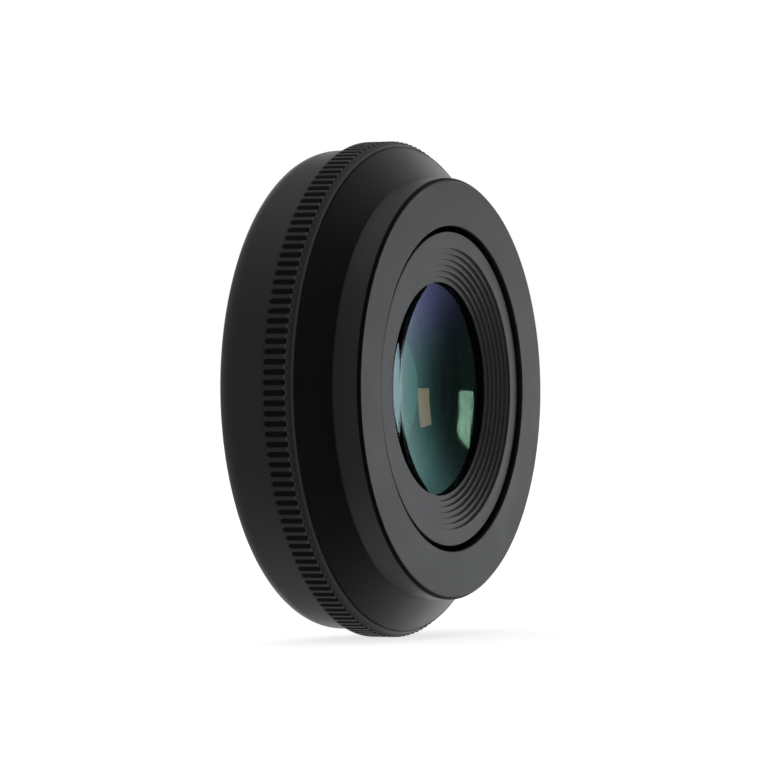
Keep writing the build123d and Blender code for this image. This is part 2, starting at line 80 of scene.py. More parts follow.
BARREL_RADIUS, FACE_Y, BARREL_REAR_Y = extent("front_barrel")
BAFFLE_RADIUS, BAFFLE_FRONT_Y, BAFFLE_REAR_Y = extent("baffle_ring")
RING_RADIUS, RING_FRONT_Y, RING_REAR_Y = extent("focus_ring")
HOUSING_RADIUS, HOUSING_FRONT_Y, SEAT_Y = extent("rear_housing")
MOUNT_RADIUS, MOUNT_FRONT_Y, STUB_END_Y = extent("mount_ring")
PAD_RADIUS, PAD_FRONT_Y, PAD_REAR_Y = extent("seat_pad")
GLASS_RADIUS, CROWN_APEX_Y, CROWN_REAR_Y = extent("front_crown")
FLINT_RADIUS, FLINT_FRONT_Y, FLINT_REAR_Y = extent("front_flint")
REAR_GLASS_RADIUS, REAR_GLASS_FRONT_Y, REAR_GLASS_REAR_Y = extent("rear_element")
SLEEVE_FRONT_Y = extent("guide_sleeve")[1]

# Relief of the finishes, and where their painted shade, painted highlights and glass tints change
ANODISED_RELIEF = 0.01 * MM
STEEL_RELIEF = 0.004 * MM
RUBBER_RELIEF = 0.01 * MM
INNER_RELIEF = 0.006 * MM
SHADE_START_DEPTH = 0.005 * MM
FULL_SHADE_DEPTH = 0.06 * MM
# Painted highlight: reach and end of the lighter strip along the ring's front edges
HIGHLIGHT_REACH = 0.1 * MM
HIGHLIGHT_END = 0.22 * MM
TINT_START_Z = 0.5 * MM
TINT_END_Z = 7.0 * MM
RIM_STRIP_WIDTH = 1.3 * MM
RIM_STRIP_FULL_WIDTH = 0.9 * MM

# The thread's ridge, in pitches and turns
RIDGE_ROOT_SHARE = 0.44
RIDGE_CREST_SHARE = 0.1
RIDGE_START_SHARE = 1.05
RIDGE_SPARE_TURN = 0.1
RIDGE_TURN_STEPS = 96


def size(name, value, description):
    """A length property, written in millimetres and kept in metres."""
    return FloatProperty(
        name=name,
        description=description,
        default=value * MM,
        precision=5,
        subtype="DISTANCE",
        unit="LENGTH",
    )


def number(name, value, description, least=1):
    """A property that counts pieces."""
    return IntProperty(name=name, description=description, default=value, min=least)


def colour(name, value, description):
    """A colour property."""
    return FloatVectorProperty(
        name=name, description=description, default=value, size=3, min=0.0, max=1.0, subtype="COLOR"
    )


class LensSizes(bpy.types.PropertyGroup):
    """Sizes of the turned and cut shapes."""

    edge_softening: size("Edge softening", 0.03, "Width of the small round on every turned edge")
    front_bore_radius: size("Front bore radius", 12.5, "Radius of the flange's bore round the baffle ring")
    bore_chamfer: size("Bore chamfer", 0.06, "Chamfer at the mouth of the flange's bore")
    flange_radius: size("Flange radius", 16.2, "Radius of the front flange")
    flange_thickness: size("Flange thickness", 2.32, "Length of the flange's cylindrical edge")
    flange_chamfer: size("Flange chamfer", 0.25, "Chamfer round the front face")
    flange_lip: size("Flange lip", 0.08, "Rounding of the flange's rear edge")
    barrel_room_radius: size("Barrel room radius", 14.5, "Inside radius behind the flange")
    barrel_seat_depth: size("Barrel seat depth", 3.46, "Depth of the seat of the guide sleeve")
    sleeve_seat_radius: size("Sleeve seat radius", 12.87, "Radius of the seat of the guide sleeve")
    running_gap: size("Running gap", 0.02, "Play between a seat and what sits in it")
    opening_radius: size("Opening radius", 8.2, "Clear radius of the front glass")
    step_count: number("Baffle steps", 6, "Steps round the glass")
    step_width: size("Step width", 0.433, "Radial width of one baffle step")
    step_depth: size("Step depth", 0.155, "Drop of one baffle step")
    lip_thickness: size("Lip thickness", 0.15, "Thickness of the lip that holds the glass")
    skirt_bore_radius: size("Skirt bore radius", 9.05, "Inside radius of the baffle ring's skirt")
    skirt_radius: size("Skirt radius", 10.35, "Outside radius of the baffle ring's skirt")
    skirt_length: size("Skirt length", 1.1, "Length of the baffle ring's skirt")
    baffle_chamfer: size("Baffle chamfer", 0.04, "Chamfer round the baffle ring's face")
    crown_front_height: size("Front dome", 1.05, "Height of the front glass's front dome")
    crown_rear_height: size("Rear dome", 1.5, "Height of the front glass's rear dome")
    flint_rear_radius: size("Second glass's rear radius", 6.75, "Clear radius of its hollow rear")
    flint_rear_height: size("Second glass's rear hollow", 0.9, "Depth of its hollow rear")
    glass_chamfer: size("Glass chamfer", 0.08, "Ground chamfer round each glass")
    ring_bore_radius: size("Ring bore radius", 14.12, "Inside radius of the knurled ring")
    ring_bevel_drop: size("Ring bevel drop", 0.37, "How much the ring's front rim is smaller")
    knurl_front: size("Knurl front", 0.5, "Length of the ring's plain strip in front of the knurl")
    knurl_sink: size("Knurl sink", 0.02, "How far the plain strip lies below the floor of the grooves")
    knurl_chamfer: size("Knurl chamfer", 0.14, "Length of the slope from the plain strip up to the knurl")
    ring_rear_chamfer: size("Ring rear chamfer", 0.08, "Chamfer of the ring's rear edge")
    groove_count: number("Grooves", 155, "Grooves round the knurled ring", least=3)
    groove_width: size("Groove width", 0.57, "Width of one knurl groove at the surface")
    groove_depth: size("Groove depth", 0.18, "Depth of one knurl groove")
    groove_land: size("Groove land", 0.09, "Plain strip between the grooves and the ring's rear edge")
    cutter_stand: size("Cutter stand", 0.06, "How far the groove cutter stands out of the ring")
    rear_round: size("Rear round", 1.95, "Radius of the housing's rear edge")
    cavity_radius: size("Cavity radius", 16.9, "Inside radius of the rear housing")
    housing_chamfer: size("Housing chamfer", 0.1, "Chamfer of the housing's front edge")
    pad_inner_radius: size("Pad inside radius", 11.7, "Inside radius of the seat pad")
    pad_rib_depth: size("Pad rib depth", 0.14, "Depth of the valleys between the pad's ribs")
    pad_rib_count: number("Pad ribs", 5, "Ribs moulded on the seat pad")
    thread_radius: size("Thread radius", 8.5, "Major radius of the stub's thread")
    thread_pitch: size("Thread pitch", 0.75, "Pitch of the stub's thread")
    thread_depth: size("Thread depth", 0.4, "Depth of the stub's thread")
    spigot_radius: size("Spigot radius", 8.98, "Radius of the mount ring's spigot")
    spigot_bore_radius: size("Spigot bore radius", 8.0, "Inside radius of the mount ring's spigot")
    spigot_step: size("Spigot step", 0.05, "How far the end of the spigot's bore lies before the seat")
    mount_flange_length: size("Mount flange", 1.0, "Thickness of the mount ring's flange")
    rear_pocket_radius: size("Rear pocket radius", 7.45, "Radius of the rear glass's pocket")
    rear_clear_radius: size("Rear clear radius", 6.9, "Clear radius of the rear glass")
    rear_front_height: size("Rear glass front dome", 0.35, "Height of the rear glass's front dome")
    rear_rear_height: size("Rear glass rear dome", 0.4, "Height of the rear glass's rear dome")
    screw_orbit: size("Screw orbit", 10.09, "Distance of the mount screws from the axis")
    screw_radius: size("Screw radius", 0.5, "Radius of a mount screw's shank")
    screw_head_radius: size("Screw head radius", 0.9, "Radius of a mount screw's head")
    screw_head_length: size("Screw head length", 0.5, "Height of a mount screw's head")
    screw_length: size("Screw length", 1.6, "Whole length of a mount screw")
    screw_sink: size("Screw sink", 0.03, "How far a screw's head lies below the flange")
    screw_count: number("Mount screws", 3, "Screws of the mount ring")
    screw_softening: size("Screw softening", 0.02, "Width of the small chamfer on a screw's edges")
    recess_depth: size("Recess depth", 0.31, "Depth of a screw's crossed recess")
    sink_cutter_height: size("Sink cutter height", 0.4, "How far the hole's cutter stands over the head")


class LensColours(bpy.types.PropertyGroup):
    """Colours of the finishes."""

    anodised: colour("Anodised black", (0.008, 0.008, 0.0088), "Black anodised aluminium")
    baffle: colour("Baffle black", (0.06, 0.06, 0.064), "Anodised aluminium of the stepped baffle")
    # Painted highlight: the lighter colour of the knurled ring's two front edges.
    edge_highlight: colour("Painted edge highlight", (0.05, 0.05, 0.052), "Painted highlight on the knurled ring's front edges")
    sheen: colour("Anodised sheen", (0.92, 0.95, 1.0), "Tint of the anodised surfaces' reflections")
    dust: colour("Dust", (0.05, 0.05, 0.05), "Fine dust on the anodised surfaces")
    inner_black: colour("Inner black", (0.006, 0.006, 0.0065), "Matte black inside the cell")
    floor: colour("Floor", (0.85, 0.85, 0.85), "Floor under the lens")


def sizes():
    """The scene's sizes of the lens."""
    return bpy.context.scene.lens_sizes


def colours():
    """The scene's colours of the lens."""
    return bpy.context.scene.lens_colours


# Shader maths


class Signal:
    """A shader value that Python's operators can work with."""

    def __init__(self, shading, output):
        self.shading = shading
        self.output = output

    def _with(self, operation, *others):
        inputs = dict(enumerate((self, *others)))
        return self.shading.node("ShaderNodeMath", {"operation": operation}, inputs)

    def __add__(self, other):
        return self._with("ADD", other)

    def __sub__(self, other):
        return self._with("SUBTRACT", other)

    def __mul__(self, other):
        return self._with("MULTIPLY", other)

    def __truediv__(self, other):
        return self._with("DIVIDE", other)

    def __pow__(self, other):
        return self._with("POWER", other)

    def __rsub__(self, other):
        return self * -1 + other

    def __abs__(self):
        return self._with("ABSOLUTE")

    __radd__ = __add__
    __rmul__ = __mul__

    def at_least(self, other):
        """The greater of two values."""
        return self._with("MAXIMUM", other)

    def at_most(self, other):
        """The smaller of two values."""
        return self._with("MINIMUM", other)


class Shading:
    """The nodes of one material or world."""

    def __init__(self, owner):
        owner.use_nodes = True
        self.tree = owner.node_tree
        self.tree.nodes.clear()

    def node(self, kind, settings=None, inputs=None, output=0):
        """Adds a node, makes its settings, then gives its sockets their values or links."""
        made = self.tree.nodes.new(kind)
        for key, value in (settings or {}).items():
            setattr(made, key, value)
        for key, value in (inputs or {}).items():
            socket = made.inputs[key]
            if isinstance(value, Signal):
                self.tree.links.new(value.output, socket)
            else:
                socket.default_value = value
        return Signal(self, made.outputs[output]) if made.outputs else None

    def ramp(self, value, low, high):
        """0 below low, 1 above high, smooth in between."""
        settings = {"interpolation_type": "SMOOTHSTEP"}
        return self.node("ShaderNodeMapRange", settings, {"Value": value, "From Min": low, "From Max": high})

    def mix(self, share, first, second):
        """A colour between two."""
        return self.node(
            "ShaderNodeMix", {"data_type": "RGBA"}, {"Factor": share, 6: first, 7: second}, output=2
        )

    def place(self):
        """The place of a point in its object."""
        return self.node("ShaderNodeTexCoord", output="Object")

    def light_path(self, question):
        """Whether a ray is of the kind that is asked for."""
        return self.node("ShaderNodeLightPath", output=question)

    def parts(self, vector):
        """The X, Y and Z of a vector."""
        split = self.node("ShaderNodeSeparateXYZ", None, {0: vector})
        outputs = split.output.node.outputs
        return [Signal(self, outputs[index]) for index in range(3)]

    def noise(self, vector, scale, detail=3.0):
        """A soft random value."""
        inputs = {"Vector": vector, "Scale": scale, "Detail": detail, "Roughness": 0.6}
        return self.node("ShaderNodeTexNoise", None, inputs)

    def bump(self, height, distance):
        """A normal with a fine relief."""
        inputs = {"Height": height, "Distance": distance, "Strength": 1.0}
        return self.node("ShaderNodeBump", None, inputs)

    def principled(self, **inputs):
        """A principled shader; a name's underscores stand for spaces."""
        named = {key.replace("_", " "): value for key, value in inputs.items()}
        return self.node("ShaderNodeBsdfPrincipled", None, named)

    def blend(self, share, first, second):
        """A shader between two."""
        return self.node("ShaderNodeMixShader", None, {0: share, 1: first, 2: second})

    def show(self, shader, kind="ShaderNodeOutputMaterial"):
        """Makes a shader the surface of the material or world."""
        self.node(kind, None, {"Surface": shader})


def opaque(rgb):
    """A colour with its alpha."""
    return (*rgb, 1.0)


def shade(rgb, factor):
    """A lighter or darker form of a colour, with its alpha."""
    return opaque([min(1.0, channel * factor) for channel in rgb])


def ring_groove_shade_depth(radius, y):
    """How far a point of the knurled ring lies below the knurl's crests and behind its front edge."""
    # Painted shade: the deeper a point lies in a groove, the darker it is painted.
    return (RING_RADIUS - radius).at_most(y - (RING_FRONT_Y + sizes().knurl_front))


def flange_chamfer_shade_depth(radius, y):
    """How far a point of the front barrel lies inside the strip of the chamfer round its face."""
    # Painted shade: the chamfer strip round the face is painted darker and duller.
    s = sizes()
    outwards = radius - (s.flange_radius - s.flange_chamfer)
    forwards = FACE_Y + s.flange_chamfer - y
    return outwards.at_most(forwards)


def anodised(name, rgb, roughness, turned_marks, grain, depth=None, highlit_edges=()):
    """Black anodised aluminium: fine turning marks round the axis, a blasted grain, soft smudges and dust.

    Where a depth is given, what lies deeper than the turned surface is duller, and darker with painted
    shade.
    A narrow strip beside each highlit edge, given by its place along the axis, is lighter: a painted
    highlight.
    """
    material = bpy.data.materials.new(name)
    shading = Shading(material)
    place = shading.place()
    x, y, z = shading.parts(place)
    radius = (x * x + z * z) ** 0.5
    across = shading.node("ShaderNodeCombineXYZ", None, {"X": radius, "Y": y})
    marks = shading.noise(across, scale=9000.0, detail=2.0)
    blasted = shading.noise(place, scale=16000.0, detail=2.0)
    smudge = shading.noise(place, scale=260.0, detail=4.0)
    cells = shading.node("ShaderNodeTexVoronoi", None, {"Vector": place, "Scale": 430.0})
    dust = 1 - shading.ramp(cells, 0.02, 0.04)
    clean = shading.mix(smudge, shade(rgb, 0.7), shade(rgb, 1.3))
    # Painted highlight: a lighter strip along each given edge.
    for highlit_y in highlit_edges:
        highlight = 1 - shading.ramp(abs(y - highlit_y), HIGHLIGHT_REACH, HIGHLIGHT_END)
        clean = shading.mix(highlight, clean, opaque(colours().edge_highlight))
    normal = shading.bump(marks * turned_marks + blasted * grain, ANODISED_RELIEF)
    satin = shading.principled(
        Base_Color=shading.mix(dust, clean, opaque(colours().dust)),
        Metallic=0.0,
        Roughness=smudge * 0.1 + (roughness - 0.05),
        Specular_Tint=opaque(colours().sheen),
        Normal=normal,
    )
    # Painted shade: deeper places get a darker base colour, besides a duller gloss.
    if depth:
        dull_painted_shade = shading.principled(
            Base_Color=shade(rgb, 0.5), Roughness=0.6, Specular_IOR_Level=0.12, Normal=normal
        )
        inside = shading.ramp(depth(radius, y), SHADE_START_DEPTH, FULL_SHADE_DEPTH)
        satin = shading.blend(inside, satin, dull_painted_shade)
    shading.show(satin)
    return material


def coated_glass(name, body, index, share, tint, upper_tint, clear_radius, rim_share=0.0):
    """Polished glass with a blackened edge beyond its clear radius.

    The coating mirrors a small share of the light, in a tint that changes towards the top. The rim share is
    what it mirrors besides, close to the edge on the -X side.
    """
    material = bpy.data.materials.new(name)
    shading = Shading(material)
    x, y, z = shading.parts(shading.place())
    upper = shading.ramp(z, TINT_START_Z, TINT_END_Z)
    clear_inputs = {"Color": opaque(body), "Roughness": 0.0, "IOR": index}
    clear = shading.node("ShaderNodeBsdfRefraction", None, clear_inputs)
    coating = shading.principled(
        Base_Color=shading.mix(upper, opaque(tint), opaque(upper_tint)), Metallic=1.0, Roughness=0.0
    )
    blackened = shading.principled(Base_Color=opaque(colours().inner_black), Roughness=0.8)
    edge = shading.ramp((x * x + z * z) ** 0.5, clear_radius, clear_radius + sizes().glass_chamfer)
    if rim_share:
        rim = shading.ramp(x * -1, clear_radius - RIM_STRIP_WIDTH, clear_radius - RIM_STRIP_FULL_WIDTH)
        share = rim * rim_share + share
    shading.show(shading.blend(edge, shading.blend(share, clear, coating), blackened))
    return material


def plain_finish(name, rgb, roughness, metallic, grain_scale, grain_height):
    """A finish of one colour with its own grain: rubber, nylon, film, brass or steel."""
    material = bpy.data.materials.new(name)
    shading = Shading(material)
    place = shading.place()
    grain = shading.noise(place, grain_scale)
    cloud = shading.noise(place, grain_scale / 20)
    shading.show(
        shading.principled(
            Base_Color=shading.mix(cloud, shade(rgb, 0.8), shade(rgb, 1.2)),
            Metallic=metallic,
            Roughness=grain * 0.15 + (roughness - 0.075),
            Normal=shading.bump(grain, grain_height),
        )
    )
    return material


# Modelling


def deselect_all():
    """Leaves edit mode and selects nothing."""
    if bpy.context.object and bpy.context.object.mode != "OBJECT":
        bpy.ops.object.mode_set(mode="OBJECT")
    bpy.ops.object.select_all(action="DESELECT")


def pick(piece):
    """Selects one piece alone."""
    deselect_all()
    piece.select_set(True)
    bpy.context.view_layer.objects.active = piece


def settle(piece):
    """Puts a piece's place and turn into its mesh."""
    pick(piece)
    bpy.ops.object.transform_apply(location=True, rotation=True, scale=True)


def start_point(name, radius, y):
    """An object of one vertex, on the +X side of the axis, left in edit mode."""
    deselect_all()
    bpy.ops.mesh.primitive_plane_add(size=MM, location=(radius, y, 0))
    piece = bpy.context.object
    piece.name = name
    bpy.ops.object.mode_set(mode="EDIT")
    bpy.ops.mesh.select_all(action="SELECT")
    bpy.ops.mesh.merge(type="CENTER")
    return piece


def draw_out(x, y):
    """Extrudes what is selected."""
    bpy.ops.mesh.extrude_region_move(TRANSFORM_OT_translate={"value": (x, y, 0)})


def weld():
    """Selects everything and merges the corners that lie together."""
    bpy.ops.mesh.select_all(action="SELECT")
    bpy.ops.mesh.remove_doubles(threshold=MERGE_DISTANCE)


def face_outwards():
    """Selects everything and turns the normals outwards."""
    bpy.ops.mesh.select_all(action="SELECT")
    bpy.ops.mesh.normals_make_consistent(inside=False)


def trace(name, corners):
    """Edges through corners that are each (radius, y), left in edit mode."""
    piece = start_point(name, *corners[0])
    for corner, following in zip(corners, corners[1:]):
        draw_out(following[0] - corner[0], following[1] - corner[1])
    weld()
    return piece


def lathe(name, outline, steps=SPIN_STEPS):
    """An outline of (radius, y) corners, closed unless it ends on the axis, and spun about the axis."""
    closing = [outline[0]] if outline[-1][0] else []
    piece = trace(name, [*outline, *closing])
    bpy.ops.mesh.select_all(action="SELECT")
    bpy.ops.mesh.spin(steps=steps, angle=FULL_TURN, center=(0, 0, 0), axis=(0, 1, 0))
    weld()
    face_outwards()
    bpy.ops.object.mode_set(mode="OBJECT")
    settle(piece)
    return piece


def apply_modifier(piece, kind, **settings):
    """Adds a modifier with its settings and applies it."""
    pick(piece)
    modifier = piece.modifiers.new(kind.lower(), kind)
    for key, value in settings.items():
        setattr(modifier, key, value)
    bpy.ops.object.modifier_apply(modifier=modifier.name)


def soften(piece, width, angle=math.radians(25), segments=2):
    """Rounds the edges a little; what lies between them keeps its own flat or turned shading."""
    pick(piece)
    bpy.ops.object.shade_smooth()
    apply_modifier(
        piece,
        "BEVEL",
        width=width,
        segments=segments,
        limit_method="ANGLE",
        angle_limit=angle,
        harden_normals=True,
    )


def smooth(piece, degrees):
    """Smooths the shading, but not across edges that are sharper than this."""
    pick(piece)
    bpy.ops.object.shade_smooth_by_angle(angle=math.radians(degrees))


def cut(piece, cutter, operation="DIFFERENCE"):
    """Cuts a piece with another one, or joins the two, and removes the other one."""
    apply_modifier(piece, "BOOLEAN", object=cutter, operation=operation, solver="EXACT")
    bpy.data.objects.remove(cutter)


def dress(piece, body, node, material):
    """Gives a finished piece its finish and its body, and hides the CAD node that it stands for."""
    piece.data.materials.clear()
    piece.data.materials.append(material)
    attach(piece, body)
    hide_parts(node)


def finish_node(node, material):
    """A CAD node that is shown as it is gets its material."""
    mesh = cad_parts[node].data
    mesh.materials.clear()
    mesh.materials.append(material)


def dome(clear_radius, edge_y, height, count=24):
    """Corners of a polished surface, from the axis out to its clear radius.

    A height below 0 bulges to the front.
    """
    sphere = (clear_radius**2 + height**2) / (2 * abs(height))
    side = math.copysign(1, height)
    corners = []
    for index in range(count + 1):
        radius = clear_radius * index / count
        drop = sphere - math.sqrt(sphere**2 - radius**2)
        corners.append((radius, edge_y + height - side * drop))
    return corners


def lens(name, edge_radius, front, rear):
    """A glass between two surfaces, each a list of corners from the axis outwards, with ground chamfers."""
    chamfer = sizes().glass_chamfer
    front_y = front[-1][1]
    rear_y = rear[-1][1]
    outline = [
        *front,
        (edge_radius - chamfer, front_y),
        (edge_radius, front_y + chamfer),
        (edge_radius, rear_y - chamfer),
        (edge_radius - chamfer, rear_y),
        *reversed(rear),
    ]
    piece = lathe(name, outline)
    smooth(piece, degrees=20)
    return piece


class LensOperator:
    """What the operators of this file share."""

    bl_options = {"REGISTER", "UNDO"}


class LENS_OT_front_barrel(LensOperator, bpy.types.Operator):
    """Turn the front flange with its cone."""

    bl_idname = "lens.front_barrel"
    bl_label = "Front barrel"

    def execute(self, context):
        s = sizes()
        piece = lathe(
            "flanged_cone",
            [
                (s.front_bore_radius + s.bore_chamfer, FACE_Y),
                (s.flange_radius - s.flange_chamfer, FACE_Y),
                (s.flange_radius, FACE_Y + s.flange_chamfer),
                (s.flange_radius, FACE_Y + s.flange_thickness - s.flange_lip),
                (s.flange_radius - s.flange_lip, FACE_Y + s.flange_thickness),
                (BARREL_RADIUS, BARREL_REAR_Y),
                (s.barrel_room_radius, BARREL_REAR_Y),
                (s.barrel_room_radius, FACE_Y + s.barrel_seat_depth),
                (s.sleeve_seat_radius, FACE_Y + s.barrel_seat_depth),
                (s.sleeve_seat_radius, SLEEVE_FRONT_Y),
                (s.front_bore_radius, SLEEVE_FRONT_Y),
                (s.front_bore_radius, FACE_Y + s.bore_chamfer),
            ],
        )
        soften(piece, s.edge_softening)
        # The chamfer round the face gets painted shade.
        material = anodised(
            "barrel_anodised",
            colours().anodised,
            roughness=0.42,
            turned_marks=0.5,
            grain=0.35,
            depth=flange_chamfer_shade_depth,
        )
        dress(piece, "housing", "front_barrel", material)
        return {"FINISHED"}


class LENS_OT_baffle_ring(LensOperator, bpy.types.Operator):
    """Turn the baffle ring with its steps round the glass."""

    bl_idname = "lens.baffle_ring"
    bl_label = "Baffle ring"

    def execute(self, context):
        s = sizes()
        steps = []
        for index in range(s.step_count):
            radius = s.opening_radius + (s.step_count - index) * s.step_width
            y = BAFFLE_FRONT_Y + index * s.step_depth
            steps += [(radius, y), (radius, y + s.step_depth)]
        lip_y = BAFFLE_FRONT_Y + s.step_count * s.step_depth
        flange_y = BAFFLE_REAR_Y - s.skirt_length
        piece = lathe(
            "stepped_baffle",
            [
                (BAFFLE_RADIUS - s.baffle_chamfer, BAFFLE_FRONT_Y),
                *steps,
                (s.opening_radius, lip_y),
                (s.opening_radius, lip_y + s.lip_thickness),
                (s.skirt_bore_radius, lip_y + s.lip_thickness),
                (s.skirt_bore_radius, BAFFLE_REAR_Y),
                (s.skirt_radius, BAFFLE_REAR_Y),
                (s.skirt_radius, flange_y),
                (BAFFLE_RADIUS, flange_y),
                (BAFFLE_RADIUS, BAFFLE_FRONT_Y + s.baffle_chamfer),
            ],
        )
        soften(piece, s.edge_softening)
        material = anodised(
            "baffle_anodised", colours().baffle, roughness=0.42, turned_marks=0.5, grain=0.35
        )
        dress(piece, "lens_cell", "baffle_ring", material)
        return {"FINISHED"}


class LENS_OT_front_glasses(LensOperator, bpy.types.Operator):
    """Grind the front glass and the one behind it."""

    bl_idname = "lens.front_glasses"
    bl_label = "Front glasses"

    def execute(self, context):
        s = sizes()
        front_edge_y = CROWN_APEX_Y + s.crown_front_height
        rear_edge_y = CROWN_REAR_Y - s.crown_rear_height
        front = dome(s.opening_radius, front_edge_y, -s.crown_front_height)
        rear = dome(s.opening_radius, rear_edge_y, s.crown_rear_height)
        crown = lens("front_glass", GLASS_RADIUS, front, rear)
        coated = coated_glass(
            "coated_glass",
            body=(0.97, 0.99, 0.98),
            index=1.115,
            share=0.004,
            tint=(0.5, 1.0, 0.65),
            upper_tint=(0.5, 0.9, 0.7),
            clear_radius=s.opening_radius,
            rim_share=0.03,
        )
        dress(crown, "lens_cell", "front_crown", coated)
        front = dome(s.opening_radius, FLINT_FRONT_Y, s.crown_rear_height)
        rear = dome(s.flint_rear_radius, FLINT_REAR_Y, -s.flint_rear_height)
        flint = lens("second_glass", FLINT_RADIUS, front, rear)
        inner = coated_glass(
            "inner_glass",
            body=(0.9, 0.93, 0.92),
            index=1.05,
            share=0.18,
            tint=(0.42, 0.93, 0.96),
            upper_tint=(0.42, 0.4, 1.0),
            clear_radius=s.opening_radius,
        )
        dress(flint, "lens_cell", "front_flint", inner)
        finish_node("inner_element", inner)
        return {"FINISHED"}


class LENS_OT_knurled_ring(LensOperator, bpy.types.Operator):
    """Turn the focus ring and cut its grooves."""

    bl_idname = "lens.knurled_ring"
    bl_label = "Knurled ring"

    def execute(self, context):
        s = sizes()
        front_radius = RING_RADIUS - s.ring_bevel_drop
        strip_radius = RING_RADIUS - s.groove_depth - s.knurl_sink
        knurl_y = RING_FRONT_Y + s.knurl_front
        piece = lathe(
            "knurled_ring",
            [
                (s.ring_bore_radius, RING_FRONT_Y),
                (front_radius, RING_FRONT_Y),
                (strip_radius, knurl_y - s.knurl_chamfer),
                (RING_RADIUS, knurl_y),
                (RING_RADIUS, RING_REAR_Y - s.ring_rear_chamfer),
                (RING_RADIUS - s.ring_rear_chamfer, RING_REAR_Y),
                (s.ring_bore_radius, RING_REAR_Y),
            ],
            steps=2 * s.groove_count,
        )
        cut(piece, self.groove_cutters())
        smooth(piece, degrees=20)
        # The grooves get painted shade, and the two front edges painted highlights.
        material = anodised(
            "ring_anodised",
            colours().anodised,
            roughness=0.5,
            turned_marks=0.5,
            grain=0.3,
            depth=ring_groove_shade_depth,
            highlit_edges=(RING_FRONT_Y, knurl_y),
        )
        dress(piece, "focus_ring", "focus_ring", material)
        return {"FINISHED"}

    def groove_cutters(self):
        """A cone whose front half is drawn out to a V, once for each groove round the ring."""
        s = sizes()
        stand = s.cutter_stand
        whole_depth = s.groove_depth + stand
        half_width = s.groove_width / 2 * whole_depth / s.groove_depth
        end_y = RING_REAR_Y - s.groove_land - s.groove_width / 2
        deselect_all()
        bpy.ops.mesh.primitive_cone_add(
            vertices=16,
            radius1=0,
            radius2=half_width,
            depth=whole_depth,
            end_fill_type="NGON",
            location=(0, end_y, RING_RADIUS + stand - whole_depth / 2),
        )
        cutter = bpy.context.object
        bpy.ops.object.transform_apply(location=True)
        bpy.ops.object.mode_set(mode="EDIT")
        bpy.ops.mesh.select_all(action="SELECT")
        bpy.ops.mesh.bisect(plane_co=(0, end_y, 0), plane_no=(0, 1, 0), clear_inner=True, use_fill=True)
        reach = end_y - RING_FRONT_Y + stand
        draw_out(0, -reach)
        face_outwards()
        bpy.ops.mesh.spin(
            steps=s.groove_count, angle=FULL_TURN, center=(0, 0, 0), axis=(0, 1, 0), dupli=True
        )
        weld()
        bpy.ops.object.mode_set(mode="OBJECT")
        return cutter


class LENS_OT_rear_housing(LensOperator, bpy.types.Operator):
    """Turn the rear housing with its rounded edge and the pad's groove."""

    bl_idname = "lens.rear_housing"
    bl_label = "Rear housing"

    def execute(self, context):
        s = sizes()
        centre = (HOUSING_RADIUS - s.rear_round, SEAT_Y - s.rear_round)
        count = 16
        rounding = []
        for index in range(count + 1):
            angle = index * FULL_TURN / 4 / count
            outwards = s.rear_round * math.cos(angle)
            backwards = s.rear_round * math.sin(angle)
            rounding.append((centre[0] + outwards, centre[1] + backwards))
        gap = s.running_gap
        piece = lathe(
            "rear_shell",
            [
                (s.cavity_radius, HOUSING_FRONT_Y),
                (HOUSING_RADIUS - s.housing_chamfer, HOUSING_FRONT_Y),
                (HOUSING_RADIUS, HOUSING_FRONT_Y + s.housing_chamfer),
                *rounding,
                (PAD_RADIUS + gap, SEAT_Y),
                (PAD_RADIUS + gap, PAD_FRONT_Y),
                (s.pad_inner_radius - gap, PAD_FRONT_Y),
                (s.pad_inner_radius - gap, SEAT_Y),
                (MOUNT_RADIUS + gap, SEAT_Y),
                (MOUNT_RADIUS + gap, SEAT_Y - s.mount_flange_length),
                (s.spigot_radius + gap, SEAT_Y - s.mount_flange_length),
                (s.spigot_radius + gap, MOUNT_FRONT_Y),
                (s.cavity_radius, MOUNT_FRONT_Y),
            ],
        )
        soften(piece, s.edge_softening)
        material = anodised(
            "housing_anodised", colours().anodised, roughness=0.45, turned_marks=0.2, grain=0.6
        )
        dress(piece, "housing", "rear_housing", material)
        return {"FINISHED"}


